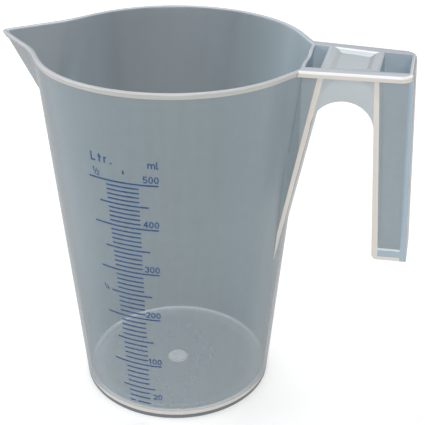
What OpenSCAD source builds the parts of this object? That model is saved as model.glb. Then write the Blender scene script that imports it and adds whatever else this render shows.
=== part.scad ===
// Measuring jug in translucent polypropylene, in millimetres.
// The real jug is one moulding with a printed scale. Each region of the moulding
// is drawn as a solid of its own, and the regions meet face to face.
// The axis of the vessel is Z, the foot stands on z = 0, the handle points
// to +X and the spout to -X. The scale faces -Y.

/* [Vessel] */
// Height of the rim above the surface that the jug stands on
height = 135.6; // [130:0.2:150]
// Inside radius where the wall meets the floor
floor_radius = 35.4; // [34:0.1:37]
// Growth of the radius for each millimetre of height
wall_slope = 0.0834; // [0.075:0.0001:0.09]
// Thickness of the vessel wall and of the handle plates
wall = 1.4; // [1:0.1:1.8]
// Thickness of the floor
floor_thickness = 1.4; // [1:0.1:2]
// Depth of the band below the rim that holds the spout and the flat at the handle
shaped_depth = 39.6; // [38.6:1:55]
// Radius of the fillet between the wall and the floor inside
floor_fillet = 1; // [0.5:0.1:2]

/* [Foot] */
// Height of the foot ring below the floor
foot_height = 0.6; // [0.4:0.1:1.5]
// Radial width of the foot ring
foot_width = 2.2; // [1.5:0.1:4]
// Setback of the ring's lower outer edge
foot_chamfer = 0.5; // [0.2:0.1:0.8]
// Diameter of the gate mark in the middle of the floor
gate_diameter = 7.2; // [4:0.2:9]
// Height of the gate mark above the floor
gate_height = 0.5; // [0.3:0.1:1]

/* [Rim] */
// Width of the bead round the mouth
bead_width = 2; // [1.8:0.1:2.6]
// Height of the bead
bead_height = 1.8; // [1.4:0.1:2.4]
// Rounding of the bead's upper edges
bead_rounding = 0.7; // [0.3:0.1:0.8]

/* [Spout] */
// Distance from the round wall to the sharp inside corner of the spout at the rim
spout_length = 16.16; // [10.6:0.02:17.4]
// Angle between the axis of the spout and each of its sides
spout_half_angle = 43; // [42:1:52]
// Forward lean of the spout for each millimetre of height
spout_rake = 0.56; // [0.5:0.01:0.65]
// Radius that rounds the inside corner of the spout
spout_tip_radius = 1.5; // [0.8:0.1:3]
// Width over which the spout blends into the round wall
spout_blend = 3.2; // [2:0.1:3.2]

/* [Handle] */
// Setback of the flat inner face at the handle from the round wall, at the rim
pad_setback = 0.34; // [0.04:0.02:0.74]
// Lean of that flat for each millimetre of height
pad_rake = 0.1187; // [0.11:0.0001:0.13]
// Angle at which the sides of the flat run into the round wall
pad_angle = 30; // [28:1:33]
// Half of the distance between the outer faces of the cheeks, at the rim
cheek_half_width = 13.4; // [12.5:0.1:13.6]
// Narrowing of the handle towards its end, on each side, in degrees
handle_taper = 4.5; // [3:0.1:6]
// Draft of the cheeks, which narrows them downwards, in degrees
cheek_draft = 1.7; // [1:0.1:2.5]
// Thickness of the flange along the top of the handle
rail_thickness = 1.7; // [1.4:0.1:2.2]
// Width of the flange on each side
rail_width = 4.6; // [3:0.1:5.5]
// Rounding of the outer edge of the flange
rail_rounding = 1; // [0.4:0.1:1.2]
// Outward lean of the end wall for each millimetre downwards
end_rake = 0.065; // [0.03:0.0025:0.07]
// Length of the leg, from the rim down to its underside
leg_length = 70.1; // [56:0.1:80]
// Thickness of the leg's floor
leg_floor_thickness = 4; // [2:0.5:6]
// Thickness of the leg's inner wall at its top
leg_wall = 1.5; // [1.2:0.1:2.2]
// Thickness of the leg's inner wall at its bottom
leg_wall_low = 2.2; // [1.4:0.1:3]
// Width of the finger opening between the web and the leg, at the rim
finger_width = 15.6; // [13.2:0.1:18]
// Depth of the leg from its inner face to the end of the handle, at the rim
leg_depth = 12.3; // [11:0.1:18]
// Outward lean of the leg's inner wall for each millimetre downwards
leg_rake = 0.066; // [0.05:0.002:0.08]
// Distance from the rim down to the centre of the arch over the finger opening
arch_drop = 21.2; // [17.6:0.1:30]
// Rounding of the lower inner corner of the leg
leg_rounding = 2; // [0.5:0.1:3]
// Width of the pocket between the vessel and the slanted web, at the rim
pocket_width = 5; // [4:0.1:7]
// Slope of the web's outer face for each millimetre downwards
web_rake = 0.192; // [0.18:0.002:0.2]
// Thickness of the web at the rim
web_thickness = 1.8; // [1.6:0.1:2.6]
// Thickness of the web at the bottom of the pocket
web_thickness_low = 1.4; // [1:0.1:2]
// Depth of the pocket between the vessel and the web
pocket_depth = 51.6; // [40:0.1:52.6]
// Distance below the rim at which the round wall has swallowed web and cheeks
web_length = 84; // [80:0.2:90]

/* [Thumb rest] */
// Thickness of the plate that joins the rails
platform_thickness = 2.6; // [2.2:0.1:4]
// Depth of the thumb recess
recess_depth = 1.1; // [0.5:0.1:1.6]
// Width of the sloping border of the recess
recess_border = 1.8; // [1.5:0.1:4]
// Margin between the recess and the pockets on either side
recess_margin = 2.6; // [1.5:0.1:4]
// Half width of the recess at its wide end
recess_half_width = 10.6; // [8:0.1:11]
// Half width of the recess at its narrow end
recess_half_width_end = 8.4; // [6:0.1:9]

/* [Printed scale] */
// Direction that the middle of the scale faces, in degrees from +X
scale_angle = -96.3; // [-110:0.1:-80]
// Least distance between the top line of the scale and the rim
headroom = 30; // [24:1:32]
// Volume between two lines, in millilitres
step_volume = 10; // [10:10:20]
// Thickness of a printed line
line_width = 0.55; // [0.3:0.05:0.8]
// Thickness of the layer of ink
ink_thickness = 0.06; // [0.04:0.01:0.12]
// Height of the numerals, between the middles of their strokes
numeral_height = 2.15; // [1.8:0.05:2.6]
// Height of the sign of the litre scale and of its fractions, in the same way
letter_height = 2.65; // [2:0.05:3]
// Thickness of a stroke, as a share of the height of its letter
stroke_share = 0.18; // [0.12:0.01:0.24]
// Gap between two numerals, as a share of their height
numeral_gap_share = 0.3; // [0.25:0.01:0.45]
// Gap between two letters, as a share of their height
letter_gap_share = 0.5; // [0.3:0.01:0.6]

/* [Hidden] */
$fn = 96;

// Edge of a cube that holds one millilitre
millilitre_edge = 10;
// Millilitres in a litre
litre_volume = 1000;
// Gap between the ink and the wall, which keeps the two solids apart
ink_gap = 0.02;
// Distance by which cuts run past what they cut
overrun = 1;

floor_top = foot_height + floor_thickness;
wall_top = height - bead_height;
turned_height = height - shaped_depth;
cheek_top = height - rail_thickness;
platform_bottom = height - platform_thickness;
leg_bottom = height - leg_length;
leg_floor_top = leg_bottom + leg_floor_thickness;
pocket_bottom = height - pocket_depth;
web_bottom = height - web_length;
arch_height = height - arch_drop;

// Colours of the moulding and of the ink
plastic_colour = [0.62, 0.68, 0.72, 0.75];
edge_colour = [0.86, 0.82, 0.78, 0.85];
ink_colour = [0.10, 0.25, 0.62];

// Inside radius of the round wall at height z
function inside_radius(z) = floor_radius + wall_slope * (z - floor_top);

// Outside radius of the round wall at height z
function outside_radius(z) = inside_radius(z) + wall;

// Distances from the axis at the rim, from the spout and the flat to the end of the handle
spout_reach = inside_radius(height) + spout_length;
pad_reach = inside_radius(height) - pad_setback;
web_reach = pad_reach + wall + pocket_width + web_thickness;
leg_reach = web_reach + finger_width;
handle_reach = leg_reach + leg_depth;

// Larger of two values, with the step between them rounded over a width k
function smooth_max(a, b, k) =
    let (h = max(k - abs(a - b), 0))
    max(a, b) + h * h / (4 * k);

// Distance from the axis to the side of the spout, t degrees off its middle
function spout_radius(t, z, grow) =
    let (
        reach = spout_reach - spout_rake * (height - z) + grow / sin(spout_half_angle),
        blunt = (spout_tip_radius + grow) * (1 / sin(spout_half_angle) - 1) * tan(spout_half_angle),
        turn = sqrt(t * t + pow(blunt / reach * 180 / PI, 2))
    )
    reach * sin(spout_half_angle) / sin(min(spout_half_angle + turn, 90));

// Distance from the axis to the flat inside the handle and to its sides
function pad_x(z) = pad_reach - pad_rake * (height - z);
pad_side_rake = pad_rake - wall_slope / 10;
function pad_side(z) = inside_radius(height) - pad_side_rake * (height - z);
function pad_radius(t, z, grow) =
    abs(t) >= pad_angle ? 0 :
    min((pad_x(z) + grow) / cos(t), (pad_side(z) + grow) / cos(pad_angle - abs(t)));

// Distance from the axis to the wall in direction a, set out by grow
function outline(a, z, grow) =
    max(
        smooth_max(inside_radius(z) + grow, spout_radius(180 - abs(a), z, grow), spout_blend),
        pad_radius(a, z, grow)
    );

// Direction of the corner between the flat and its sides
pad_corner = atan((pad_side(height) / pad_x(height) - cos(pad_angle)) / sin(pad_angle));

// Directions of the columns of the wall, from the handle to the spout
spout_start = 146;
corner_steps = 6;
side_steps = 38;
spout_steps = 18;
half_round = concat(
    [for (i = [0:corner_steps]) pad_corner + (pad_angle - pad_corner) * i / corner_steps],
    [for (i = [1:side_steps]) pad_angle + (spout_start - pad_angle) * i / side_steps]
);
far_round = half_round;
near_round = [for (i = [len(half_round) - 1:-1:0]) -half_round[i]];
pad_round = [for (i = [1:2 * corner_steps - 1]) pad_corner * (i / corner_steps - 1)];
spout_round = [
    for (i = [-spout_steps:spout_steps])
        180 + (180 - spout_start) * sign(i) * pow(abs(i) / spout_steps, 1.5)
];

// Heights of the rings of the wall
wall_steps = 9;
wall_levels = [for (i = [0:wall_steps]) turned_height + (wall_top - turned_height) * i / wall_steps];

// Cross-sections as closed loops of [offset from the inside, height]
wall_loop = concat(
    [for (z = wall_levels) [0, z]],
    [for (i = [wall_steps:-1:0]) [wall, wall_levels[i]]]
);
bead_arc_steps = 3;
bead_loop = concat(
    [[0, wall_top]],
    [for (i = [0:bead_arc_steps]) let (t = 90 * i / bead_arc_steps)
        [bead_rounding * (1 - cos(t)), height - bead_rounding * (1 - sin(t))]],
    [for (i = [0:bead_arc_steps]) let (t = 90 * i / bead_arc_steps)
        [bead_width - bead_rounding * (1 - sin(t)), height - bead_rounding * (1 - cos(t))]],
    [[bead_width, wall_top]]
);

// Azimuth folded into the range from -180 to 180
function folded(a) = a > 180 ? a - 360 : a;

// Solid swept round the axis: a closed loop carried through a list of directions.
// The first half of the loop goes up inside and the second half comes down outside,
// so its two ends are closed by strips between points that face each other.
module swept(angles, loop) {
    n = len(angles);
    m = len(loop);
    points = [
        for (a = angles) for (q = loop)
            let (rho = outline(folded(a), q[1], q[0]))
            [rho * cos(a), rho * sin(a), q[1]]
    ];
    sides = [
        for (i = [0:n - 2]) for (j = [0:m - 1])
            let (k = (j + 1) % m)
            each [
                [i * m + j, i * m + k, (i + 1) * m + k],
                [i * m + j, (i + 1) * m + k, (i + 1) * m + j]
            ]
    ];
    last = (n - 1) * m;
    ends = [
        for (j = [0:m / 2 - 2])
            each [
                [m - 1 - j, m - 2 - j, j + 1, j],
                [last + j, last + j + 1, last + m - 2 - j, last + m - 1 - j]
            ]
    ];
    polyhedron(points, concat(sides, ends));
}

// Side view in X and Z, extruded right across the jug
module across() {
    translate([0, height, 0]) rotate([90, 0, 0]) linear_extrude(2 * height) children();
}

// Frame of the far cheek: its outer face is y = 0 and its top lies at the rim
module cheek_frame() {
    translate([pad_reach, cheek_half_width, height])
        rotate([-cheek_draft, 0, -handle_taper])
            children();
}

// Space to the near side of the far cheek's inner face
module behind_far_cheek() {
    cheek_frame() translate([-height, -2 * height - wall, -2 * height])
        cube([3 * height, 2 * height, 3 * height]);
}

// Space between the inner faces of the two cheeks
module between_cheeks() {
    intersection() {
        behind_far_cheek();
        mirror([0, 1, 0]) behind_far_cheek();
    }
}

// Space that the vessel takes on the handle side, up to its outer face
module vessel_space() {
    cylinder(h = height, r1 = outside_radius(0), r2 = outside_radius(height));
    across() polygon([
        [0, 0],
        [pad_x(0) + wall, 0],
        [pad_x(height) + wall, height],
        [0, height]
    ]);
}

// Lines of the handle's side view
function web_outer(z) = web_reach - web_rake * (height - z);
web_inner_rake = (web_reach - web_thickness - web_outer(pocket_bottom) + web_thickness_low)
    / (height - pocket_bottom);
function web_inner(z) = web_reach - web_thickness - web_inner_rake * (height - z);
function leg_outer(z) = leg_reach + leg_rake * (height - z);
leg_inner_rake = leg_rake + (leg_wall_low - leg_wall) / (height - leg_bottom);
function leg_inner(z) = leg_reach + leg_wall + leg_inner_rake * (height - z);
function end_outer(z) = handle_reach + end_rake * (height - z);
end_inner_rake = end_rake * 0.8;
function end_inner(z) = handle_reach - wall + end_inner_rake * (height - z);

// The finger opening ends in a round arch that touches the web and the leg
arch_radius = (leg_outer(arch_height) - web_outer(arch_height)) / 2;
arch_x = web_outer(arch_height) + arch_radius;

// Volume law of the cone: height of the surface when it holds v millilitres
function fill_height(v) =
    floor_top + (pow(
        pow(floor_radius, 3) + 3 * wall_slope * v * pow(millilitre_edge, 3) / PI, 1 / 3
    ) - floor_radius) / wall_slope;

// The same law the other way round: volume when the surface stands at height z
function volume_at(z) =
    PI / 3 / wall_slope * (pow(inside_radius(z), 3) - pow(floor_radius, 3)) / pow(millilitre_edge, 3);

// The top line shows the largest half, quarter or eighth of a litre that fits
halvings = ceil(ln(litre_volume / volume_at(height - headroom)) / ln(2));
top_volume = litre_volume / pow(2, halvings);

// Half widths of the lines, in degrees round the wall, from the bottom to the top
hundreds_half_angle = [13.1, 15.7];
fifties_half_angle = [9.4, 11.5];
tens_half_angle = [6.2, 7.35];
function half_angle(ends, v) = ends[0] + (ends[1] - ends[0]) * v / top_volume;

// Volume at the lowest line, the one below it being too near the fillet to read
lowest_line = 2 * step_volume;

module base_floor() {
    color(plastic_colour)
        translate([0, 0, foot_height]) cylinder(h = floor_thickness, r = floor_radius);
}

module foot_ring() {
    r = outside_radius(foot_height);
    color(edge_colour) rotate_extrude() polygon([
        [r - foot_width, 0],
        [r - foot_chamfer, 0],
        [r, foot_height],
        [r - foot_width, foot_height]
    ]);
}

module gate_mark() {
    color(edge_colour)
        translate([0, 0, floor_top]) cylinder(h = gate_height, d = gate_diameter);
}

module lower_wall() {
    fillet_steps = 6;
    lift = wall_slope * floor_fillet;
    fillet = [
        for (i = [0:fillet_steps]) let (t = 90 * i / fillet_steps)
            [floor_radius - floor_fillet * (1 - sin(t)) + lift * i / fillet_steps,
             floor_top + floor_fillet * (1 - cos(t))]
    ];
    color(plastic_colour) rotate_extrude() polygon(concat(
        [
            [floor_radius, foot_height],
            [outside_radius(foot_height), foot_height],
            [outside_radius(turned_height), turned_height],
            [inside_radius(turned_height), turned_height]
        ],
        [for (i = [fillet_steps:-1:0]) fillet[i]],
        [[floor_radius, floor_top]]
    ));
}

module upper_wall() {
    color(plastic_colour) swept(concat(near_round, pad_round, far_round), wall_loop);
}

module spout() {
    color(plastic_colour) swept(spout_round, wall_loop);
}

module far_rim_bead() {
    color(edge_colour) swept(far_round, bead_loop);
}

module near_rim_bead() {
    color(edge_colour) swept(near_round, bead_loop);
}

module spout_lip() {
    color(edge_colour) swept(spout_round, bead_loop);
}

// Straight stretch of the rim, between the vessel and the pocket of the handle
module rim_bridge() {
    x = 2 * pad_reach;
    y = x * tan(pad_corner);
    color(edge_colour) intersection() {
        across() polygon([
            [pad_x(wall_top), wall_top],
            [pad_x(wall_top) + wall, wall_top],
            [pad_x(height) + wall, height],
            [pad_x(height), height]
        ]);
        linear_extrude(height + overrun) polygon([[0, 0], [x, -y], [x, y]]);
    }
}

// Plan of the rim on the handle side, which the flange stops against
module rim_plan() {
    d = pad_side(height) + bead_width;
    x = pad_x(height) + wall;
    corner = x / cos(pad_corner) + bead_width - wall;
    polygon([
        [0, 0],
        [x, 0],
        [x, x * tan(pad_corner)],
        [corner * cos(pad_corner), corner * sin(pad_corner)],
        [d * cos(pad_angle), d * sin(pad_angle)],
        [0, d / sin(pad_angle)]
    ]);
}

// Section of the flange: flat on the pocket's side, rounded on the outside
module rail_section() {
    square([rail_width - rail_rounding, rail_thickness]);
    square([rail_width, rail_thickness - rail_rounding]);
    translate([rail_width - rail_rounding, rail_thickness - rail_rounding])
        circle(rail_rounding);
}

// Flange with its rounded corner, drawn for the far side
module rail() {
    length = (handle_reach - rail_width - pad_reach) / cos(handle_taper);
    color(edge_colour) difference() {
        translate([pad_reach, cheek_half_width - wall, cheek_top])
            rotate([0, 0, -handle_taper]) {
                translate([-wall, 0, 0])
                    rotate([90, 0, 90]) linear_extrude(length + wall) rail_section();
                translate([length, 0, 0]) rotate_extrude(angle = 90) rail_section();
            }
        translate([0, 0, wall_top - overrun])
            linear_extrude(bead_height + 2 * overrun) rim_plan();
    }
}

module far_rail() {
    rail();
}

module near_rail() {
    mirror([0, 1, 0]) rail();
}

// Dished recess for the thumb, wider at the top than at its bottom
module thumb_recess() {
    x0 = web_inner(height) + recess_margin;
    x1 = leg_inner(height) - recess_margin;
    slim = 0.01;
    module plan(inset) {
        polygon([
            [x0 + inset, -recess_half_width + inset],
            [x1 - inset, -recess_half_width_end + inset],
            [x1 - inset, recess_half_width_end - inset],
            [x0 + inset, recess_half_width - inset]
        ]);
    }
    hull() {
        translate([0, 0, height]) linear_extrude(slim) plan(0);
        translate([0, 0, height - recess_depth])
            linear_extrude(slim) plan(recess_border);
    }
}

module thumb_platform() {
    color(plastic_colour) difference() {
        intersection() {
            between_cheeks();
            across() polygon([
                [web_inner(platform_bottom), platform_bottom],
                [leg_inner(platform_bottom), platform_bottom],
                [leg_inner(height), height],
                [web_inner(height), height]
            ]);
        }
        thumb_recess();
    }
}

// Quarter that the rounded lower corner of the leg leaves out
module leg_corner_plan() {
    translate([leg_outer(leg_bottom), leg_bottom]) difference() {
        translate([-overrun, -overrun]) square(leg_rounding + overrun);
        translate([leg_rounding, leg_rounding]) circle(leg_rounding);
    }
}

// Side view of a cheek, from inside the vessel out to the end of the handle
module cheek_plan() {
    difference() {
        polygon([
            [floor_radius, cheek_top],
            [end_outer(cheek_top), cheek_top],
            [end_outer(leg_bottom), leg_bottom],
            [leg_outer(leg_bottom), leg_bottom],
            [leg_outer(arch_height), arch_height],
            [web_outer(arch_height), arch_height],
            [web_outer(web_bottom), web_bottom],
            [floor_radius, web_bottom]
        ]);
        translate([arch_x, arch_height]) circle(arch_radius);
        leg_corner_plan();
    }
}

module cheek() {
    color(plastic_colour) difference() {
        intersection() {
            cheek_frame() translate([-height, -wall, -2 * height])
                cube([3 * height, wall, 3 * height]);
            across() cheek_plan();
        }
        vessel_space();
    }
}

module far_cheek() {
    cheek();
}

module near_cheek() {
    mirror([0, 1, 0]) cheek();
}

module handle_web() {
    color(plastic_colour) difference() {
        intersection() {
            between_cheeks();
            across() polygon([
                [floor_radius, web_bottom],
                [web_outer(web_bottom), web_bottom],
                [web_outer(platform_bottom), platform_bottom],
                [web_inner(platform_bottom), platform_bottom],
                [web_inner(pocket_bottom), pocket_bottom],
                [floor_radius, pocket_bottom]
            ]);
        }
        vessel_space();
    }
}

module leg_inner_wall() {
    color(plastic_colour) intersection() {
        between_cheeks();
        across() difference() {
            polygon([
                [leg_outer(leg_bottom), leg_bottom],
                [leg_inner(leg_bottom), leg_bottom],
                [leg_inner(platform_bottom), platform_bottom],
                [leg_outer(platform_bottom), platform_bottom]
            ]);
            leg_corner_plan();
        }
    }
}

module leg_end_wall() {
    color(plastic_colour) intersection() {
        between_cheeks();
        across() polygon([
            [end_inner(leg_bottom), leg_bottom],
            [end_outer(leg_bottom), leg_bottom],
            [end_outer(height), height],
            [end_inner(height), height]
        ]);
    }
}

module leg_floor() {
    color(plastic_colour) intersection() {
        between_cheeks();
        across() polygon([
            [leg_inner(leg_bottom), leg_bottom],
            [end_inner(leg_bottom), leg_bottom],
            [end_inner(leg_floor_top), leg_floor_top],
            [leg_inner(leg_floor_top), leg_floor_top]
        ]);
    }
}

// Layer of ink on the wall between two heights and two directions
module ink_band(z0, z1, a0, a1) {
    color(ink_colour) rotate([0, 0, a0]) rotate_extrude(angle = a1 - a0) polygon([
        [outside_radius(z0) + ink_gap, z0],
        [outside_radius(z0) + ink_gap + ink_thickness, z0],
        [outside_radius(z1) + ink_gap + ink_thickness, z1],
        [outside_radius(z1) + ink_gap, z1]
    ]);
}

// Stretch of the line at v millilitres between two directions from its middle
module line_at(v, t0, t1) {
    z = fill_height(v) - line_width / 2;
    ink_band(z, z + line_width, scale_angle + t0, scale_angle + t1);
}

module graduations_hundreds() {
    for (v = [100:100:top_volume])
        line_at(v, -half_angle(hundreds_half_angle, v), half_angle(hundreds_half_angle, v));
}

module graduations_fifties() {
    for (v = [50:100:top_volume])
        line_at(v, -half_angle(fifties_half_angle, v), half_angle(fifties_half_angle, v));
}

// The lowest line is broken into a short and a long dash
module graduations_tens() {
    line_at(lowest_line, -half_angle(tens_half_angle, lowest_line), -tens_half_angle[0] / 2);
    line_at(lowest_line, -tens_half_angle[0] / 5, half_angle(tens_half_angle, lowest_line));
    for (v = [lowest_line + step_volume:step_volume:top_volume])
        if (v % 50 != 0) line_at(v, -half_angle(tens_half_angle, v), half_angle(tens_half_angle, v));
}

// Straight stroke from p to q, given in shares of the letter's height h
module stroke(p, q, h) {
    d = (q - p) * h;
    pen = stroke_share * h;
    translate(p * h) rotate(atan2(d[1], d[0]))
        translate([-pen / 2, -pen / 2]) square([norm(d) + pen, pen]);
}

// Curved stroke round c with half axes r, from angle a0 to a1
module bow(c, r, a0, a1, h) {
    steps = ceil(abs(a1 - a0) / 22.5);
    function rim(side, i) =
        let (t = a0 + (a1 - a0) * i / steps)
        [
            (c[0] + (r[0] + side * stroke_share / 2) * cos(t)) * h,
            (c[1] + (r[1] + side * stroke_share / 2) * sin(t)) * h
        ];
    polygon(concat(
        [for (i = [0:steps]) rim(1, i)],
        [for (i = [steps:-1:0]) rim(-1, i)]
    ));
}

// Width of each letter, in shares of its height
function letter_share(c) =
    c == "." ? 0.12 : c == "l" ? 0.16 : c == "m" ? 1 : c == "t" ? 0.36 :
    c == "r" ? 0.34 : c == "1" ? 0.4 : 0.56;

// Letters drawn as lines of even width, with their lower left corner at zero
module letter(c, h) {
    if (c == "0") {
        bow([0.28, 0.5], [0.28, 0.5], 0, 180, h);
        bow([0.28, 0.5], [0.28, 0.5], 180, 360, h);
    }
    if (c == "1") {
        stroke([0.26, 0], [0.26, 1], h);
        stroke([0.04, 0.78], [0.26, 1], h);
    }
    if (c == "2") {
        bow([0.28, 0.72], [0.28, 0.28], -40, 170, h);
        stroke([0, 0], [0.49, 0.54], h);
        stroke([0, 0], [0.56, 0], h);
    }
    if (c == "3") {
        bow([0.27, 0.76], [0.25, 0.24], -90, 160, h);
        bow([0.27, 0.26], [0.29, 0.26], -160, 90, h);
    }
    if (c == "4") {
        stroke([0.42, 0], [0.42, 1], h);
        stroke([0, 0.3], [0.42, 1], h);
        stroke([0, 0.3], [0.56, 0.3], h);
    }
    if (c == "5") {
        stroke([0.08, 1], [0.52, 1], h);
        stroke([0.04, 0.52], [0.08, 1], h);
        bow([0.26, 0.3], [0.3, 0.3], -150, 130, h);
    }
    if (c == "8") {
        for (t = [0, 180]) {
            bow([0.28, 0.76], [0.22, 0.24], t, t + 180, h);
            bow([0.28, 0.26], [0.28, 0.26], t, t + 180, h);
        }
    }
    if (c == "m") {
        stroke([0, 0], [0, 0.7], h);
        bow([0.25, 0.46], [0.25, 0.24], 0, 180, h);
        stroke([0.5, 0], [0.5, 0.46], h);
        bow([0.75, 0.46], [0.25, 0.24], 0, 180, h);
        stroke([1, 0], [1, 0.46], h);
    }
    if (c == "l") {
        stroke([0, 0], [0, 1], h);
        stroke([0, 0], [0.16, 0], h);
    }
    if (c == "L") {
        stroke([0, 0], [0, 1], h);
        stroke([0, 0], [0.5, 0], h);
    }
    if (c == "t") {
        stroke([0.16, 0], [0.16, 0.94], h);
        stroke([0, 0.66], [0.36, 0.66], h);
    }
    if (c == "r") {
        stroke([0, 0], [0, 0.66], h);
        bow([0.2, 0.46], [0.2, 0.2], 60, 180, h);
    }
    if (c == ".") stroke([0.04, 0], [0.08, 0], h);
}

// Flat drawing laid on the wall: its right end at direction a, its feet at height z
module laid_on_wall(width, h, a, z) {
    middle = a - width / 2 / outside_radius(z) * 180 / PI;
    deep = outside_radius(z) / 2;
    color(ink_colour) intersection() {
        rotate([0, 0, middle]) translate([deep, -width / 2, z]) rotate([90, 0, 90])
            linear_extrude(2 * deep) children();
        ink_band(z - h, z + 2 * h, middle - 90, middle + 90);
    }
}

// Width of the first n letters of a word, with the gaps behind them
function run_width(word, n, h, gap) =
    n == 0 ? 0 : run_width(word, n - 1, h, gap) + (letter_share(word[n - 1]) + gap) * h;

module printed(word, h, gap, a, z) {
    laid_on_wall(run_width(word, len(word), h, gap) - gap * h, h, a, z)
        for (i = [0:len(word) - 1])
            translate([run_width(word, i, h, gap), 0]) letter(word[i], h);
}

// Fraction with a raised 1, a slash and a low figure
module printed_fraction(figure, h, a, z) {
    small = h * 0.55;
    slash = [h * 0.28, h * 0.58];
    laid_on_wall(slash[1] + letter_share(figure) * small, h, a, z) {
        translate([0, h - small]) letter("1", small);
        stroke([slash[0] / small, 0.1], [slash[1] / small, 1.6], small);
        translate([slash[1], 0]) letter(figure, small);
    }
}

// Feet of the lettering above the line of v millilitres, in heights of a numeral
function feet(v, n) = fill_height(v) + n * numeral_height;

module numerals() {
    for (v = [100:100:top_volume])
        printed(str(v), numeral_height, numeral_gap_share,
            scale_angle + half_angle(hundreds_half_angle, v), feet(v, 0.5));
    printed(str(lowest_line), numeral_height, numeral_gap_share,
        scale_angle + hundreds_half_angle[0], feet(lowest_line, 1.2));
}

module millilitre_sign() {
    printed("ml", numeral_height, numeral_gap_share,
        scale_angle + half_angle(hundreds_half_angle, top_volume), feet(top_volume, 3));
}

module litre_sign() {
    printed("Ltr.", letter_height, letter_gap_share,
        scale_angle - half_angle(hundreds_half_angle, top_volume) / 4, feet(top_volume, 3));
}

// The fraction of a litre at the top line
module half_litre_sign() {
    printed_fraction(str(litre_volume / top_volume), letter_height,
        scale_angle - half_angle(hundreds_half_angle, top_volume) * 2 / 3, feet(top_volume, 0.5));
}

// The fraction of a litre at half of the top line's volume
module quarter_litre_sign() {
    v = top_volume / 2;
    printed_fraction(str(litre_volume / v), numeral_height,
        scale_angle - half_angle(hundreds_half_angle, v) + 2, feet(v, -0.2));
}

// Short upright line over the middle of the scale
module centre_mark() {
    z = feet(top_volume, 1.5);
    turn = line_width / outside_radius(z) * 180 / PI;
    ink_band(z, z + numeral_height * 2 / 3, scale_angle + turn, scale_angle + 2 * turn);
}

base_floor();
foot_ring();
gate_mark();
lower_wall();
upper_wall();
spout();
near_rim_bead();
far_rim_bead();
spout_lip();
rim_bridge();
near_rail();
far_rail();
thumb_platform();
near_cheek();
far_cheek();
handle_web();
leg_inner_wall();
leg_end_wall();
leg_floor();
graduations_hundreds();
graduations_fifties();
graduations_tens();
numerals();
millilitre_sign();
litre_sign();
half_litre_sign();
quarter_litre_sign();
centre_mark();
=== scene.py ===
import math

import bpy
from mathutils import Matrix, Vector
from mathutils.bvhtree import BVHTree


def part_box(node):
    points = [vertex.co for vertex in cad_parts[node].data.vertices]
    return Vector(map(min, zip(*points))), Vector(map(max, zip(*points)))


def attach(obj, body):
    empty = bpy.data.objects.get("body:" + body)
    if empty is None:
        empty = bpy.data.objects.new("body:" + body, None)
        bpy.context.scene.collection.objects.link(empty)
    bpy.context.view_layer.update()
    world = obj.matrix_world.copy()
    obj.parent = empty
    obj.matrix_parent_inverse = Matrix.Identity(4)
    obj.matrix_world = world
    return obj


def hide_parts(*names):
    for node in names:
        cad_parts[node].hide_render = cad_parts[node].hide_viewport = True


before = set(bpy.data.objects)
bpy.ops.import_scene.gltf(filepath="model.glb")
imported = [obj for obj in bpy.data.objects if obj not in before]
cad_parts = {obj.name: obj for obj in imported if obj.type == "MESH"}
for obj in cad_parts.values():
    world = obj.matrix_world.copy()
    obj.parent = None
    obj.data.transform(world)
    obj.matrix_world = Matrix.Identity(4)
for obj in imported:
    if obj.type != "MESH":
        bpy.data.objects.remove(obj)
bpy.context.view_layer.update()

bpy.ops.object.select_all(action="DESELECT")
scene = bpy.context.scene
scene.view_settings.view_transform = "Standard"
mm = 0.001


# Viewpoint of the photograph: about 35 cm away, from above the scale side and a
# little towards the handle, with a lens of short telephoto length.
camera_place = Vector((87.2, -297.4, 236.4)) * mm
camera_turn = math.radians(13.78)
camera_dip = math.radians(28.33)
camera_roll = math.radians(0.42)

camera_data = bpy.data.cameras.new("camera")
camera_data.sensor_width = 36
camera_data.lens = 78.55
camera = bpy.data.objects.new("camera", camera_data)
camera.matrix_world = Matrix.Translation(camera_place) @ (
    Matrix.Rotation(camera_turn, 4, "Z")
    @ Matrix.Rotation(math.radians(90) - camera_dip, 4, "X")
    @ Matrix.Rotation(camera_roll, 4, "Z")
)
scene.collection.objects.link(camera)
scene.camera = camera


# The studio: a pale matt table and a pale room. The camera and the gloss of the
# plastic see the same plain background, and the table keeps the jug's shadow.
def add_node(tree, kind, settings=None, links=None):
    node = tree.nodes.new(kind)
    for name, value in (settings or {}).items():
        if isinstance(name, str) and hasattr(node, name):
            setattr(node, name, value)
        else:
            node.inputs[name].default_value = value
    for name, socket in (links or {}).items():
        tree.links.new(socket, node.inputs[name])
    return node


def linear(colour):
    shares = [int(colour[i:i + 2], 16) / 255 for i in (1, 3, 5)]
    return [c / 12.92 if c <= 0.04045 else ((c + 0.055) / 1.055) ** 2.4 for c in shares] + [1]


table_size = 6.0
table_lift = 0.16
room_light = 0.5
bpy.ops.mesh.primitive_plane_add(size=table_size)
table = bpy.context.object
table.name = "table"
table_paint = bpy.data.materials.new("matt table paint")
table_paint.use_nodes = True
tree = table_paint.node_tree
paint = tree.nodes["Principled BSDF"]
paint.inputs["Base Color"].default_value = linear("#F7F7F7")
paint.inputs["Roughness"].default_value = 0.9
paint.inputs["Specular IOR Level"].default_value = 0.1
path = add_node(tree, "ShaderNodeLightPath")
seen = add_node(tree, "ShaderNodeMath", {"operation": "MAXIMUM"},
                {0: path.outputs["Is Camera Ray"], 1: path.outputs["Is Transmission Ray"]})
seen = add_node(tree, "ShaderNodeMath", {"operation": "MAXIMUM"},
                {0: seen.outputs[0], 1: path.outputs["Is Glossy Ray"]})
lift = add_node(tree, "ShaderNodeMath", {"operation": "MULTIPLY", 1: table_lift},
                {0: seen.outputs[0]})
paint.inputs["Emission Color"].default_value = (1, 1, 1, 1)
tree.links.new(lift.outputs[0], paint.inputs["Emission Strength"])
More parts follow.
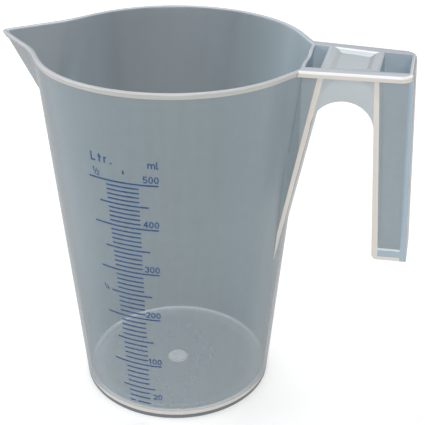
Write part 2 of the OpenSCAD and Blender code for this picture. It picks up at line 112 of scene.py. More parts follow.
table.data.materials.append(table_paint)
bpy.ops.object.select_all(action="DESELECT")

room = bpy.data.worlds.new("pale room")
scene.world = room
room.use_nodes = True
tree = room.node_tree
tree.nodes.clear()
path = add_node(tree, "ShaderNodeLightPath")
seen = add_node(tree, "ShaderNodeMath", {"operation": "MAXIMUM"},
                {0: path.outputs["Is Camera Ray"], 1: path.outputs["Is Transmission Ray"]})
seen = add_node(tree, "ShaderNodeMath", {"operation": "MAXIMUM"},
                {0: seen.outputs[0], 1: path.outputs["Is Glossy Ray"]})
daylight = add_node(tree, "ShaderNodeBackground",
                    {"Color": linear("#F4F6F8"), "Strength": room_light})
backdrop = add_node(tree, "ShaderNodeBackground", {"Color": (1, 1, 1, 1), "Strength": 1.0})
mixed = add_node(tree, "ShaderNodeMixShader", {},
                 {0: seen.outputs[0], 1: daylight.outputs[0], 2: backdrop.outputs[0]})
add_node(tree, "ShaderNodeOutputWorld", {}, {"Surface": mixed.outputs[0]})


def soft_lamp(name, place, size, light, colour):
    """Square soft box aimed at the jug, which would light a white card there to a level."""
    middle_of_jug = Vector((0.01, 0, 0.07))
    data = bpy.data.lights.new(name, "AREA")
    data.size = size
    data.energy = light * math.pi ** 2 * Vector(place).length_squared
    data.color = linear(colour)[:3]
    lamp = bpy.data.objects.new(name, data)
    lamp.location = place
    aim = middle_of_jug - Vector(place)
    lamp.rotation_euler = aim.to_track_quat("-Z", "Y").to_euler()
    scene.collection.objects.link(lamp)


soft_lamp("ceiling", place=(-0.1, 0.5, 1.35), size=0.6, light=0.35, colour="#FFFFFF")
soft_lamp("front", place=(0.45, -1.2, 0.9), size=0.45, light=0.32, colour="#FFFBF6")
soft_lamp("side", place=(-1.15, -0.35, 0.95), size=0.7, light=0.25, colour="#F6FAFF")


# The vessel: wall, floor, foot ring, rim bead and spout of the one moulding. Natural
# polypropylene, injected through the floor's middle into a two-part mould, so every
# wall is drafted. It is spun as a round cup, and its upper part is then drawn out to
# the spout, and to the flat pad that carries the handle.
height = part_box("rim_bridge")[1][2]
floor_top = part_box("base_floor")[1][2]
floor_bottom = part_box("base_floor")[0][2]
floor_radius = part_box("base_floor")[1][0]
turned_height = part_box("lower_wall")[1][2]
bead_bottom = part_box("rim_bridge")[0][2]
gate_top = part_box("gate_mark")[1][2]
gate_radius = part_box("gate_mark")[1][0]
gate_edge = gate_radius * 1.16
wall_slope = 0.0834
wall = 1.4 * mm
bead_width = 1.93 * mm
bead_rounding = 0.8 * mm
bead_edge = 0.1 * mm
floor_fillet = 1.6 * mm
floor_step = 0.5 * mm
floor_edge = floor_top + 2 * floor_step
step_radii = (30.4 * mm, 33.1 * mm)
foot_chamfer = 0.5 * mm
foot_width = 2.2 * mm
spout_reach = 62.7 * mm
spout_half_angle = math.radians(43)
spout_half_span = math.radians(60)
spout_rake = 0.56
spout_tip_radius = 1.5 * mm
spout_blend = 3.2 * mm
spout_crowding = 1.3
pad_reach = 46.2 * mm
pad_rake = 0.1187
pad_side_rake = pad_rake - wall_slope / 10
pad_angle = math.radians(30)
closeness = 0.01 * mm


def inside_radius(z):
    return floor_radius + wall_slope * (z - floor_top)


def smooth_max(a, b, k):
    step = max(k - abs(a - b), 0)
    return max(a, b) + step * step / (4 * k)


def spout_radius(turn, z, grow):
    """Two flat flanks that meet in a blunt tip; turn is counted from the tip."""
    reach = spout_reach - spout_rake * (height - z) + grow / math.sin(spout_half_angle)
    blunt = ((spout_tip_radius + grow) * (1 / math.sin(spout_half_angle) - 1)
             * math.tan(spout_half_angle))
    turn = math.hypot(turn, blunt / reach)
    return reach * math.sin(spout_half_angle) / math.sin(
        min(spout_half_angle + turn, math.pi / 2))


def pad_radius(turn, z, grow):
    """A flat front between two flat sides, and 0 away from the handle."""
    if abs(turn) >= pad_angle:
        return 0
    front = pad_reach - pad_rake * (height - z)
    side = inside_radius(height) - pad_side_rake * (height - z)
    return min((front + grow) / math.cos(turn), (side + grow) / math.cos(pad_angle - abs(turn)))


pad_side = inside_radius(height) / pad_reach
pad_corner = math.atan((pad_side - math.cos(pad_angle)) / math.sin(pad_angle))


def outline(azimuth, z, grow):
    """Radius of the vessel at an azimuth and a height, grow outside its inner face."""
    from_spout = math.pi - abs(azimuth)
    round_part = inside_radius(z) + grow
    if from_spout < spout_half_span:
        round_part = smooth_max(round_part, spout_radius(from_spout, z, grow), spout_blend)
    return max(round_part, pad_radius(azimuth, z, grow))


def drawn_out(x, y, z):
    """Moves a point of the round cup to the drawn-out shape of the upper part."""
    radius = math.hypot(x, y)
    azimuth = math.atan2(y, x)
    grow = radius - inside_radius(z)
    if abs(azimuth) < pad_corner:
        grow = min(grow, wall)
    radius = outline(azimuth, z, grow)
    return radius * math.cos(azimuth), radius * math.sin(azimuth), z


def arc(centre, radius, start, end, steps):
    turns = [math.radians(start + (end - start) * i / steps) for i in range(steps + 1)]
    return [(centre[0] + radius * math.cos(t), centre[1] + radius * math.sin(t)) for t in turns]


def rising(offset, low, high, steps):
    levels = [low + (high - low) * i / steps for i in range(steps + 1)]
    return [(inside_radius(z) + offset, z) for z in levels]


def spun(name, section, steps):
    """Surface of revolution round the axis: a section of (radius, height) points."""
    weld = 0.002 * mm
    bpy.ops.mesh.primitive_circle_add(vertices=len(section), fill_type="NOTHING")
    piece = bpy.context.object
    piece.name = name
    for vertex, (radius, z) in zip(piece.data.vertices, section):
        vertex.co = (radius, 0, z)
    bpy.ops.object.mode_set(mode="EDIT")
    bpy.ops.mesh.select_all(action="SELECT")
    bpy.ops.mesh.spin(steps=steps, angle=2 * math.pi, center=(0, 0, 0), axis=(0, 0, 1))
    bpy.ops.mesh.select_all(action="SELECT")
    bpy.ops.mesh.remove_doubles(threshold=weld)
    bpy.ops.mesh.dissolve_degenerate(threshold=weld)
    bpy.ops.mesh.normals_make_consistent(inside=False)
    bpy.ops.object.mode_set(mode="OBJECT")
    return piece


def crowded_towards_spout(azimuth):
    share = (math.pi - abs(azimuth)) / math.pi
    return math.copysign(math.pi * (1 - share ** spout_crowding), azimuth)


foot_radius = inside_radius(floor_bottom) + wall
foot_line = 2.25 * mm
foot_line_top = 3.8 * mm
rim_inside = inside_radius(height)
bead_foot = inside_radius(bead_bottom)

# The section runs from the middle of the floor up the inner face, over the rim, and down
# the outer face to the underside. Heights without a name only space the mesh's rings.
vessel_section = (
    [(0, gate_top), (gate_radius, gate_top), (gate_edge, floor_top),
     (floor_radius * 0.5, floor_top), (step_radii[0], floor_top),
     (step_radii[0], floor_top + floor_step),
     (step_radii[1], floor_top + floor_step), (step_radii[1], floor_edge)]
    + arc((floor_radius - floor_fillet, floor_edge + floor_fillet), floor_fillet, -90, 0, 8)
    + rising(0, floor_edge + floor_fillet * 1.5, turned_height, 6)
    + rising(0, turned_height + 2 * mm, height - 2 * bead_rounding, 16)
    + arc((rim_inside + bead_rounding, height - bead_rounding), bead_rounding, 180, 90, 6)
    + arc((rim_inside + bead_width - bead_rounding, height - bead_rounding),
          bead_rounding, 90, 0, 6)
    + [(bead_foot + bead_width, bead_bottom + bead_edge),
       (bead_foot + bead_width - bead_edge, bead_bottom), (bead_foot + wall, bead_bottom)]
    + rising(wall, turned_height, bead_bottom - 2 * mm, 16)[::-1]
    + rising(wall, 14 * mm, turned_height - 6 * mm, 5)[::-1]
    + [(inside_radius(z) + wall, z)
       for z in (8 * mm, 5 * mm, foot_line_top, foot_line, floor_bottom)]
    + [(foot_radius - foot_chamfer, 0), (foot_radius - foot_width, 0),
       (foot_radius - foot_width, floor_bottom), (0, floor_bottom)]
)
vessel = spun("moulding", vessel_section, steps=288)
for vertex in vessel.data.vertices:
    x, y, z = vertex.co
    radius = math.hypot(x, y)
    azimuth = crowded_towards_spout(math.atan2(y, x))
    vertex.co = (radius * math.cos(azimuth), radius * math.sin(azimuth), z)
    if z > turned_height - closeness:
        vertex.co = drawn_out(*vertex.co)
bpy.ops.object.select_all(action="DESELECT")


# The handle of the same moulding: two cheeks joined by the slanted web, the hollow leg
# and the thumb rest, with a flange along the top. Its core is open at the top and its
# finger opening at the bottom, because the mould opens along the vessel's axis.
cheek_half_width = 13.4 * mm
handle_taper = math.tan(math.radians(4.5))
cheek_draft = math.tan(math.radians(1.7))
handle_reach = 82.3 * mm
end_rake = 0.065
end_inner_rake = end_rake * 0.8
leg_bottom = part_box("leg_floor")[0][2]
leg_floor_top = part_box("leg_floor")[1][2]
leg_reach = 70 * mm
leg_rake = 0.066
leg_wall = 1.5 * mm
leg_wall_low = 2.2 * mm
leg_rounding = 2 * mm
leg_edge = 1.4 * mm
arch_height = 114.4 * mm
web_reach = 54.4 * mm
web_rake = 0.192
web_thickness = 1.8 * mm
web_thickness_low = 1.4 * mm
web_bottom = 51.6 * mm
pocket_bottom = 84 * mm
platform_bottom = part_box("thumb_platform")[0][2]
flange_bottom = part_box("near_rail")[0][2]
flange_width = 4.6 * mm
flange_rounding = 1 * mm
flange_overlap = 0.2 * mm
prism_half_width = 20 * mm
inner_start = 30 * mm
moulded_edge = 0.3 * mm
overrun = 3 * mm


def cheek_y(x, z, inset):
    """Half the handle's width between its two drafted cheeks."""
    return cheek_half_width - inset - (x - pad_reach) * handle_taper - (height - z) * cheek_draft


def web_outer(z):
    return web_reach - web_rake * (height - z)


def web_inner(z):
    rake = ((web_reach - web_thickness - web_outer(pocket_bottom) + web_thickness_low)
            / (height - pocket_bottom))
    return web_reach - web_thickness - rake * (height - z)


def leg_outer(z):
    return leg_reach + leg_rake * (height - z)


def leg_inner(z):
    rake = leg_rake + (leg_wall_low - leg_wall) / (height - leg_bottom)
    return leg_reach + leg_wall + rake * (height - z)


def end_outer(z):
    return handle_reach + end_rake * (height - z)


def end_inner(z):
    return handle_reach - wall + end_inner_rake * (height - z)


def prism(name, corners, way):
    """Flat outline of 3-D corners, carried along a way to a closed solid."""
    bpy.ops.mesh.primitive_circle_add(vertices=len(corners), fill_type="NGON")
    piece = bpy.context.object
    piece.name = name
    for vertex, corner in zip(piece.data.vertices, corners):
        vertex.co = corner
    bpy.ops.object.mode_set(mode="EDIT")
    bpy.ops.mesh.select_all(action="SELECT")
    bpy.ops.mesh.extrude_region_move(TRANSFORM_OT_translate={"value": way})
    bpy.ops.mesh.select_all(action="SELECT")
    bpy.ops.mesh.normals_make_consistent(inside=False)
    bpy.ops.object.mode_set(mode="OBJECT")
    return piece


def fit_between_cheeks(piece, inset):
    """Draws the two flat sides of a prism in to the cheeks' tapered planes."""
    for vertex in piece.data.vertices:
        x, y, z = vertex.co
        vertex.co.y = math.copysign(cheek_y(x, z, inset), y)


def side_prism(name, points, inset):
    piece = prism(name, [(x, -prism_half_width, z) for x, z in points],
                  (0, 2 * prism_half_width, 0))
    fit_between_cheeks(piece, inset)
    return piece


def cut(piece, tool, operation):
    """Joins a solid to the piece or takes it away, and drops the tool."""
    bpy.ops.object.select_all(action="DESELECT")
    piece.select_set(True)
    bpy.context.view_layer.objects.active = piece
    step = piece.modifiers.new("step", "BOOLEAN")
    step.operation = operation
    step.solver = "EXACT"
    step.object = tool
    bpy.ops.object.modifier_apply(modifier=step.name)
    bpy.data.objects.remove(tool, do_unlink=True)


def taper_levels(inner, outer, low, high):
    return [(inner(low), low), (outer(low), low), (outer(high), high), (inner(high), high)]


arch_radius = (leg_outer(arch_height) - web_outer(arch_height)) / 2
arch_middle = (web_outer(arch_height) + arch_radius, arch_height)
corner_middle = (leg_outer(leg_bottom) + leg_rounding, leg_bottom + leg_rounding)
handle_side = (
    [(inner_start, flange_bottom + flange_overlap),
     (end_outer(flange_bottom), flange_bottom + flange_overlap),
     (end_outer(leg_bottom), leg_bottom)]
    + arc(corner_middle, leg_rounding, -90, -180, 6)
    + arc(arch_middle, arch_radius, 0, 180, 28)
    + [(web_outer(web_bottom), web_bottom), (inner_start, web_bottom)]
)
handle = side_prism("handle", handle_side, 0)

flange_y = cheek_y(inner_start, height, wall - flange_width)
corner_x = handle_reach - flange_width
corner_y = cheek_y(corner_x, height, wall)
corner_turn = math.degrees(math.atan(handle_taper))
far_corner = arc((corner_x, corner_y), flange_width, 90 - corner_turn, 0, 8)
flange_plan = (
    [(inner_start, -flange_y)]
    + [(x, -y) for x, y in far_corner]
    + far_corner[::-1]
    + [(inner_start, flange_y)]
)
flange = prism("flange", [(x, y, flange_bottom) for x, y in flange_plan],
               (0, 0, height - flange_bottom))
bpy.ops.object.mode_set(mode="EDIT")
bpy.ops.mesh.select_mode(type="FACE")
bpy.ops.mesh.select_all(action="DESELECT")
bpy.ops.object.mode_set(mode="OBJECT")
for face in flange.data.polygons:
    face.select = face.center.z > height - closeness
bpy.ops.object.mode_set(mode="EDIT")
bpy.ops.mesh.bevel(offset=flange_rounding, segments=6, affect="EDGES")
bpy.ops.object.mode_set(mode="OBJECT")
cut(handle, flange, "UNION")

pocket = side_prism("pocket", [
    (inner_start, pocket_bottom), (web_inner(pocket_bottom), pocket_bottom),
    (web_inner(height + overrun), height + overrun), (inner_start, height + overrun)], wall)
cut(handle, pocket, "DIFFERENCE")
leg_core = side_prism(
    "leg_core", taper_levels(leg_inner, end_inner, leg_floor_top, height + overrun), wall)
cut(handle, leg_core, "DIFFERENCE")
hollow = side_prism(
    "hollow", taper_levels(web_outer, leg_outer, arch_height, platform_bottom), wall)
cut(handle, hollow, "DIFFERENCE")


# Thumb rest: a shallow dish in the plate that joins the two sides of the flange. The
# mould forms it with sloping borders and a softened upper edge, so it takes two cuts,
# each a cube drawn to a shallow funnel.
recess_depth = 1.1 * mm
recess_border = 1.8 * mm
recess_lip_depth = 0.19 * mm
recess_lip_low = 0.31 * mm
recess_lip_high = -2.21 * mm
recess_margin = 2.6 * mm
recess_half_width = 10.6 * mm
recess_half_width_end = 8.4 * mm

recess_start = web_inner(height) + recess_margin
recess_end = leg_inner(height) - recess_margin
for depth, inset_low, inset_high in (
        (recess_depth, recess_border, -recess_border),
        (recess_lip_depth, recess_lip_low, recess_lip_high)):
    bpy.ops.mesh.primitive_cube_add(size=1)
    recess = bpy.context.object
    recess.name = "recess"
    for vertex in recess.data.vertices:
        far, side, up = vertex.co.x > 0, math.copysign(1, vertex.co.y), vertex.co.z > 0
        inset = inset_high if up else inset_low
        x = recess_end - inset if far else recess_start + inset
        half = (recess_half_width_end if far else recess_half_width) - inset
        vertex.co = (x, side * half, height + depth if up else height - depth)
    cut(handle, recess, "DIFFERENCE")


# The root of the handle: it grows out of the vessel's wall in the same shot, so the
# room inside the vessel is cut away from it, its edges get the mould's small radius,
# and it is joined to the vessel.
core_section = (
    [(0, floor_bottom)] + rising(wall / 2, floor_bottom, turned_height, 6)
    + rising(wall / 2, turned_height + 2 * mm, height + overrun, 16) + [(0, height + overrun)]
)
core = spun("core", core_section, steps=144)
for vertex in core.data.vertices:
    if vertex.co.z > turned_height - closeness:
        vertex.co = drawn_out(*vertex.co)
cut(handle, core, "DIFFERENCE")

bpy.ops.object.select_all(action="DESELECT")
handle.select_set(True)
bpy.context.view_layer.objects.active = handle
bpy.ops.object.mode_set(mode="EDIT")
bpy.ops.mesh.select_all(action="SELECT")
bpy.ops.mesh.remove_doubles(threshold=closeness)
bpy.ops.mesh.dissolve_limited(angle_limit=math.radians(0.3))
bpy.ops.object.mode_set(mode="OBJECT")
edge = handle.modifiers.new("edge", "BEVEL")
edge.width = moulded_edge
edge.segments = 2
edge.limit_method = "ANGLE"
edge.angle_limit = math.radians(35)
edge.use_clamp_overlap = True
bpy.ops.object.modifier_apply(modifier=edge.name)

cut(vessel, handle, "UNION")
bpy.ops.object.select_all(action="DESELECT")
vessel.select_set(True)
bpy.context.view_layer.objects.active = vessel


# Where a rib stands behind a cheek the plastic is much thicker and looks milky, with a
# sharp border, so the cheeks' faces are divided along the ribs. Each face then keeps
# how many millimetres of plastic lie behind it ("depth"), whether it looks into a
# hollow of the moulding ("hollow"), how level it lies ("flat"), and whether it gets a
# painted highlight ("pale"): the small sloping faces that catch the light, the floor's
# step lines and the gate mark.
side_on = 0.9


def fall(line, low, high):
    """How far a rib's face moves outwards for each unit of height downwards."""
    return (line(low) - line(high)) / (high - low)


ribs = [
    ((line(height), 0, height), (1, 0, fall(line, leg_bottom, height)))
    for line in (web_outer, web_inner, leg_outer, leg_inner, end_inner)
] + [
    ((0, 0, z), (0, 0, 1))
    for z in (platform_bottom, leg_floor_top, leg_bottom + leg_edge, arch_height)
]
for point, normal in ribs:
    for face in vessel.data.polygons:
        face.select = face.center.x > inner_start and abs(face.normal.y) > side_on
    bpy.ops.object.mode_set(mode="EDIT")
    bpy.ops.mesh.select_mode(type="FACE")
    bpy.ops.mesh.bisect(plane_co=point, plane_no=normal)
    bpy.ops.object.mode_set(mode="OBJECT")
bpy.ops.object.shade_smooth_by_angle(angle=math.radians(32))

probe = 0.02 * mm
widest_hollow = 120 * mm
opening_margin = 0.2 * mm
step_margin = 0.1 * mm
rim_top_band = 1.1 * mm
rim_side_start = 0.15 * mm

# Depths in millimetres of plastic, as the haze reads them: up to 1.5 is clear and from
# 1.9 is milky. Tilts are the upward share of a face's normal: 0 is upright, 1 is level.
clear_depth = 1.4
cheek_depth = 1.5
rim_side_depth = 1.62
arch_depth = 1.66
rim_top_depth = 1.74
milky_depth = 2.4
flat_tilt = (0.5, 0.9)
rounding_tilt = (0.2, 0.93)
lip_tilt = (0.98, 0.995)

# A face is measured from the middle of its largest triangle, which lies within the face
# even where its outline is bent.
surface = BVHTree.FromObject(vessel, bpy.context.evaluated_depsgraph_get())
vessel.data.calc_loop_triangles()
samples = {}
for piece in vessel.data.loop_triangles:
    if piece.area >= samples.get(piece.polygon_index, (0, None))[0]:
        corners = [vessel.data.vertices[i].co for i in piece.vertices]
        samples[piece.polygon_index] = (piece.area, sum(corners, Vector()) / 3)
depths, hollows, flats, pales = [], [], [], []
for face in vessel.data.polygons:
    middle = samples[face.index][1] if face.index in samples else face.center
    x, y, z = middle
    radius = math.hypot(x, y)
    across_x, across_y, up = face.normal
    depth = (surface.ray_cast(middle - face.normal * probe, -face.normal)[3] or 0) / mm
    outlook = Vector((across_x, across_y, 0))
    looks_in = outlook.length > 0.5 and surface.ray_cast(
        middle + face.normal * probe, outlook.normalized(), widest_hollow)[3] is not None
    in_finger_opening = (
        abs(across_y) < 0.5 and radius > inside_radius(z) + wall / 2
        and web_outer(z) - opening_margin < x < leg_outer(z) + opening_margin)
    hollow = looks_in and not in_finger_opening
    flat = min(max((up - flat_tilt[0]) / (flat_tilt[1] - flat_tilt[0]), 0.0), 1.0)
    pale = 0.0
    if x > pad_reach:
        in_recess = recess_start - mm < x < recess_end + mm and abs(y) < recess_half_width + mm
        if in_recess and z > flange_bottom:
            face.use_smooth = False
        crosswise = abs(across_y) > abs(across_x)
        rounded = (z > flange_bottom and not in_recess
                   and rounding_tilt[0] < up < rounding_tilt[1])
        lip_of_recess = in_recess and lip_tilt[0] < up < lip_tilt[1]
        # Painted highlight on the flange's rounded edges and the recess's lip.
        if crosswise and (rounded or lip_of_recess):
            depth, pale = milky_depth, 1.0
        elif abs(across_y) > side_on and z < flange_bottom:
            over_leg_floor = leg_inner(z) < x and leg_bottom + leg_edge < z < leg_floor_top
            if hollow:
                depth = min(depth, clear_depth)
            elif x > end_inner(z) or over_leg_floor:
                depth, flat, hollow = cheek_depth, 0.0, True
            elif web_outer(z) < x < leg_outer(z):
                depth, flat, hollow = arch_depth, 0.0, True
        elif hollow:
            depth = clear_depth
        # Painted highlight on the rounded top edges of the flange.
        elif rounded and z > height - flange_rounding:
            pale = 1.0
    elif z < floor_edge + floor_fillet and (hollow or up > 0.5):
        # Painted highlight on the gate mark and the floor's step lines.
        if radius < gate_edge or hollow and radius < step_radii[1] + step_margin:
            depth, pale, flat = milky_depth, 1.0, 1.0
        else:
            depth = clear_depth
            # The floor inside the foot counts as half level: half the painted light of level faces
            # and half the foot's painted shade.
            flat = 0.5 if radius < step_radii[1] else 0.0
    elif hollow:
        depth = clear_depth
    elif abs(up) < 0.5:
        if foot_line < z < foot_line_top:
            depth = milky_depth
        elif z > height - rim_top_band:
            depth = rim_top_depth
        elif z > bead_bottom + rim_side_start:
            depth = rim_side_depth
    depths.append(depth)
    hollows.append(1.0 if hollow else 0.0)
    flats.append(flat)
    pales.append(pale)
for name, values in (("depth", depths), ("hollow", hollows), ("flat", flats), ("pale", pales)):
    vessel.data.attributes.new(name, "FLOAT", "FACE").data.foreach_set("value", values)


# Natural polypropylene, moulded in a polished tool: unpigmented, so the eye sees the
# scale and the far wall through it, cloudy where it is thin, milky where it is thick,
# with a satin gloss.
moulding_nodes = [
    "base_floor", "foot_ring", "gate_mark", "lower_wall", "upper_wall", "spout",
    "near_rim_bead", "far_rim_bead", "spout_lip", "rim_bridge", "near_rail", "far_rail",
    "thumb_platform", "near_cheek", "far_cheek", "handle_web", "leg_inner_wall",
    "leg_end_wall", "leg_floor",
]
polypropylene = bpy.data.materials.new("natural polypropylene")
polypropylene.use_nodes = True
tree = polypropylene.node_tree
plastic = tree.nodes["Principled BSDF"]
plastic.inputs["Roughness"].default_value = 0.26
plastic.inputs["IOR"].default_value = 1.49
plastic.inputs["Specular IOR Level"].default_value = 0.4
place = add_node(tree, "ShaderNodeTexCoord").outputs["Object"]
across = add_node(tree, "ShaderNodeSeparateXYZ", {}, {0: place})
level = across.outputs["Z"]
depth = add_node(tree, "ShaderNodeAttribute", {"attribute_name": "depth"}).outputs["Fac"]
hollow = add_node(tree, "ShaderNodeAttribute", {"attribute_name": "hollow"}).outputs["Fac"]
flat = add_node(tree, "ShaderNodeAttribute", {"attribute_name": "flat"}).outputs["Fac"]
pale = add_node(tree, "ShaderNodeAttribute", {"attribute_name": "pale"}).outputs["Fac"]
thick = add_node(tree, "ShaderNodeMapRange", {
    "interpolation_type": "SMOOTHSTEP", "From Min": 1.5, "From Max": 1.9},
    {"Value": depth}).outputs[0]

# Cloudiness: streaks of the melt's flow up the wall, 4 mm apart, and mottles of 3 mm.
streak_size = 4 * mm
mottle_size = 3.03 * mm
stretched = add_node(tree, "ShaderNodeMapping", {"Scale": (1, 1, 0.04)}, {"Vector": place})
streaks = add_node(tree, "ShaderNodeTexNoise", {"Scale": 1 / streak_size, "Detail": 2.0},
                   {"Vector": stretched.outputs[0]})
mottles = add_node(tree, "ShaderNodeTexNoise", {"Scale": 1 / mottle_size, "Detail": 3.0},
                   {"Vector": place})
cloud = add_node(tree, "ShaderNodeMix", {"data_type": "FLOAT", 0: 0.45},
                 {2: streaks.outputs[0], 3: mottles.outputs[0]}).outputs[0]
cloud = add_node(tree, "ShaderNodeMapRange", {
    "From Min": 0.3, "From Max": 0.7, "To Min": 0.95, "To Max": 1.05}, {"Value": cloud}).outputs[0]

# Haze: the share of the view that the plastic hides when it is looked at squarely. It
# is less near the foot, where the real wall looks clearer. Level faces and thick
# plastic have their own share.
outside_haze = add_node(tree, "ShaderNodeMapRange", {
    "interpolation_type": "SMOOTHSTEP", "From Min": 30 * mm, "From Max": 90 * mm,
    "To Min": 0.42, "To Max": 0.62}, {"Value": level}).outputs[0]
inside_haze = add_node(tree, "ShaderNodeMapRange", {
    "interpolation_type": "SMOOTHSTEP", "From Min": 30 * mm, "From Max": 90 * mm,
    "To Min": 0.88, "To Max": 0.9}, {"Value": level}).outputs[0]
haze = add_node(tree, "ShaderNodeMix", {"data_type": "FLOAT"},
                {0: hollow, 2: outside_haze, 3: inside_haze}).outputs[0]
calm = add_node(tree, "ShaderNodeMath", {"operation": "MULTIPLY", 1: 0.7}, {0: hollow}).outputs[0]
cloud = add_node(tree, "ShaderNodeMix", {"data_type": "FLOAT", 3: 1.0},
                 {0: calm, 2: cloud}).outputs[0]
haze = add_node(tree, "ShaderNodeMath", {"operation": "MULTIPLY"},
                {0: haze, 1: cloud}).outputs[0]
haze = add_node(tree, "ShaderNodeMix", {"data_type": "FLOAT", 3: 0.8},
                {0: flat, 2: haze}).outputs[0]
haze = add_node(tree, "ShaderNodeMix", {"data_type": "FLOAT", 3: 0.93},
                {0: thick, 2: haze}).outputs[0]

# A slanting look passes through more plastic. The haze scatters light forward, so it
# dims the light that crosses the wall much less than it blurs the view. A wall counts
# once, at the face through which the look enters it.
facing = add_node(tree, "ShaderNodeLayerWeight", {"Blend": 0.5}).outputs["Facing"]
straight = add_node(tree, "ShaderNodeMath", {"operation": "SUBTRACT", 0: 1.0}, {1: facing})
straight = add_node(tree, "ShaderNodeMath", {"operation": "MAXIMUM", 1: 0.2},
                    {0: straight.outputs[0]})
path_length = add_node(tree, "ShaderNodeMath", {"operation": "DIVIDE", 0: 1.0},
                       {1: straight.outputs[0]})
passed = add_node(tree, "ShaderNodeMath", {"operation": "SUBTRACT", 0: 1.0}, {1: haze})
passed = add_node(tree, "ShaderNodeMath", {"operation": "POWER"},
                  {0: passed.outputs[0], 1: path_length.outputs[0]})
opacity = add_node(tree, "ShaderNodeMath", {"operation": "SUBTRACT", 0: 1.0},
                   {1: passed.outputs[0]})
shadow = add_node(tree, "ShaderNodeLightPath").outputs["Is Shadow Ray"]
kept = add_node(tree, "ShaderNodeMapRange", {"To Min": 1.0, "To Max": 0.4}, {"Value": shadow})
opacity = add_node(tree, "ShaderNodeMath", {"operation": "MULTIPLY"},
                   {0: opacity.outputs[0], 1: kept.outputs[0]})
leaving = add_node(tree, "ShaderNodeNewGeometry").outputs["Backfacing"]
entering = add_node(tree, "ShaderNodeMath", {"operation": "SUBTRACT", 0: 1.0}, {1: leaving})
opacity = add_node(tree, "ShaderNodeMath", {"operation": "MULTIPLY"},
                   {0: opacity.outputs[0], 1: entering.outputs[0]})
tree.links.new(opacity.outputs[0], plastic.inputs["Alpha"])

# Colour: a neutral grey outside, a little paler on the handle, which is painted light on its
# cheeks. Inside, a darker grey, which is painted shade for the dim inside of the jug. It pales
# where the wall is seen on a slant, partly for the longer look through milky plastic and partly
# as painted light that lifts the interior's own shade. A bluer one in the hollows of the handle.
# Level faces are paler: painted light for the light that falls on them from above.
handle_side = add_node(tree, "ShaderNodeMapRange", {
    "From Min": 46.8 * mm, "From Max": 47.4 * mm}, {"Value": across.outputs["X"]}).outputs[0]
# Painted light in part: the inside colour pales on a slant, for more milk and to lift its shade.
slanting = add_node(tree, "ShaderNodeMapRange", {"From Min": 0.12, "From Max": 0.5},
                    {"Value": facing}).outputs[0]
# The darker inside grey is painted shade for the dim inside of the jug.
inside = add_node(tree, "ShaderNodeMix", {
    "data_type": "RGBA", 6: linear("#74828A"), 7: linear("#B5C3CA")}, {0: slanting}).outputs[2]
inside = add_node(tree, "ShaderNodeMix", {"data_type": "RGBA", 7: linear("#97ABB8")},
                  {0: handle_side, 6: inside}).outputs[2]
# The outside is a little paler on the handle: painted light on its cheeks.
outside = add_node(tree, "ShaderNodeMix", {
    "data_type": "RGBA", 6: linear("#8C999F"), 7: linear("#9FACB1")}, {0: handle_side}).outputs[2]
colour = add_node(tree, "ShaderNodeMix", {"data_type": "RGBA"},
                  {0: hollow, 6: outside, 7: inside}).outputs[2]
# Level faces get a paler colour: painted light for the light from above.
colour = add_node(tree, "ShaderNodeMix", {"data_type": "RGBA", 7: linear("#B4BEC3")},
                  {0: flat, 6: colour}).outputs[2]

# Thick plastic is a milky white, with painted light that makes it warmer on upright faces and
# cooler on level ones, and the faces marked pale get a painted highlight, nearly white.
# Painted light: the milky tone is warmer on upright faces and cooler on level ones.
milk_and_painted_light = add_node(tree, "ShaderNodeMix", {
    "data_type": "RGBA", 6: linear("#D6D0C8"), 7: linear("#B4BBC2")}, {0: flat}).outputs[2]
# Painted highlight: faces marked pale are made nearly white.
milk_and_painted_light = add_node(tree, "ShaderNodeMix", {"data_type": "RGBA", 7: linear("#F1F1F2")},
                 {0: pale, 6: milk_and_painted_light}).outputs[2]
colour = add_node(tree, "ShaderNodeMix", {"data_type": "RGBA"},
                  {0: thick, 6: colour, 7: milk_and_painted_light}).outputs[2]

# Painted shade: the foot ring's upright faces are painted dark, for the shade there, as no light
# reaches them from behind, and every outward face is painted darker at its brink, where it is
# seen edge-on and the look runs along inside the wall.
foot = add_node(tree, "ShaderNodeMapRange", {
    "interpolation_type": "SMOOTHSTEP", "From Min": 2.1 * mm, "From Max": 2.3 * mm,
    "To Min": 1.0, "To Max": 0.0}, {"Value": level}).outputs[0]
upright = add_node(tree, "ShaderNodeMath", {"operation": "SUBTRACT", 0: 1.0},
                   {1: flat}).outputs[0]
foot = add_node(tree, "ShaderNodeMath", {"operation": "MULTIPLY"},
                {0: foot, 1: upright}).outputs[0]
# Painted shade on the foot ring's upright faces.
colour = add_node(tree, "ShaderNodeMix", {"data_type": "RGBA", 7: linear("#69737A")},
                  {0: foot, 6: colour}).outputs[2]
painted_brink_shade = add_node(tree, "ShaderNodeMapRange", {
    "interpolation_type": "SMOOTHSTEP", "From Min": 0.55, "From Max": 0.97},
    {"Value": facing}).outputs[0]
outward = add_node(tree, "ShaderNodeMath", {"operation": "SUBTRACT", 0: 1.0},
                   {1: hollow}).outputs[0]
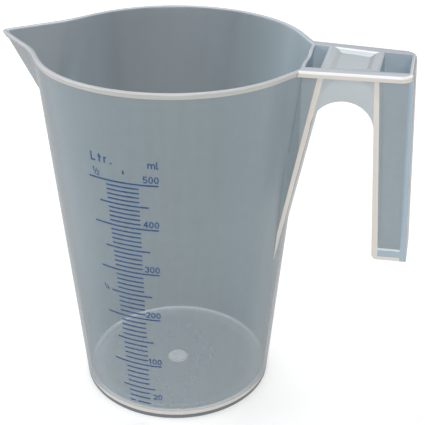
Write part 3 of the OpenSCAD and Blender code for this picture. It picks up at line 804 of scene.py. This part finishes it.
painted_brink_shade = add_node(tree, "ShaderNodeMath", {"operation": "MULTIPLY"},
                 {0: painted_brink_shade, 1: outward}).outputs[0]
# Painted shade at the brink of outward faces seen edge-on.
colour = add_node(tree, "ShaderNodeMix", {"data_type": "RGBA", 7: linear("#39434A")},
                  {0: painted_brink_shade, 6: colour}).outputs[2]
tree.links.new(colour, plastic.inputs["Base Color"])

# Faint waviness of the moulded surface, grains of 1.5 mm and 0.02 mm deep.
grain_size = 1.515 * mm
grain_depth = 0.02 * mm
grain = add_node(tree, "ShaderNodeTexNoise", {"Scale": 1 / grain_size, "Detail": 2.0},
                 {"Vector": place})
waves = add_node(tree, "ShaderNodeBump", {"Strength": 0.25, "Distance": grain_depth},
                 {"Height": grain.outputs[0]})
tree.links.new(waves.outputs[0], plastic.inputs["Normal"])
vessel.data.materials.clear()
vessel.data.materials.append(polypropylene)
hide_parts(*moulding_nodes)
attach(vessel, "root")


# The scale: lines, numerals and signs in blue printing ink, laid on the finished wall in
# one pass. The layer covers a little unevenly, in patches of about 1 mm, so the eye
# sees two blues, and it has less gloss than the plastic.
patch_size = 1.111 * mm
ink_nodes = [
    "graduations_hundreds", "graduations_fifties", "graduations_tens", "numerals",
    "millilitre_sign", "litre_sign", "half_litre_sign", "quarter_litre_sign", "centre_mark",
]
ink = bpy.data.materials.new("printing ink")
ink.use_nodes = True
tree = ink.node_tree
layer = tree.nodes["Principled BSDF"]
place = add_node(tree, "ShaderNodeTexCoord").outputs["Object"]
patches = add_node(tree, "ShaderNodeTexNoise", {"Scale": 1 / patch_size, "Detail": 3.0},
                   {"Vector": place})
cover = add_node(tree, "ShaderNodeMapRange", {"From Min": 0.35, "From Max": 0.65},
                 {"Value": patches.outputs[0]})
shade = add_node(tree, "ShaderNodeMix", {
    "data_type": "RGBA", 6: linear("#07305F"), 7: linear("#104C8A")}, {0: cover.outputs[0]})
tree.links.new(shade.outputs[2], layer.inputs["Base Color"])
layer.inputs["Roughness"].default_value = 0.5
for name in ink_nodes:
    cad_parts[name].data.materials.clear()
    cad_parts[name].data.materials.append(ink)
